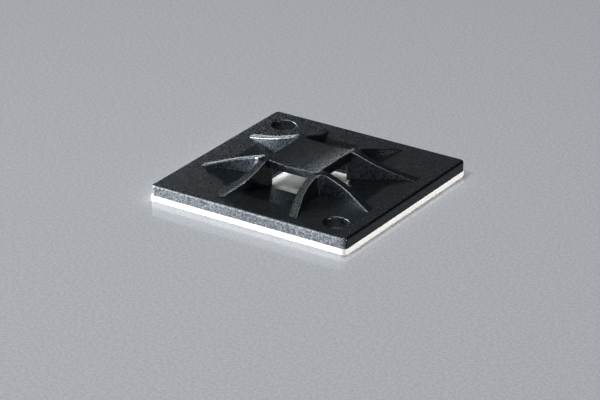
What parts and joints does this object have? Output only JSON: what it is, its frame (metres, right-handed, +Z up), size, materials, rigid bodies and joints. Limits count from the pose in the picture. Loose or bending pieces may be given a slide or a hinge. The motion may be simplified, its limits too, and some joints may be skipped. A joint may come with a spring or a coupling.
{
  "type": "cable tie mount",
  "caption": "Square stick-on mount with a raised saddle on four curved legs, under which a cable tie passes either way to hold a cable bundle; diagonal screw holes.",
  "frame": {"origin": "middle of the adhesive pad's underside, on the surface the mount is stuck to", "axes": "+Z up and out of that surface, X and Y along the plate's sides and the two ways a tie passes; the saddle's trough runs along Y and the screw holes are in the -X +Y and +X -Y corners"},
  "size_m": [0.0282, 0.0282, 0.0046],
  "materials": {
    "body_plastic": "fine spark-eroded grain",
    "pad_foam": "closed-cell foam with adhesive on both sides"
  },
  "bodies": {
    "root": {"mount_body": "body_plastic", "adhesive_pad": "pad_foam"}
  },
  "joints": []
}
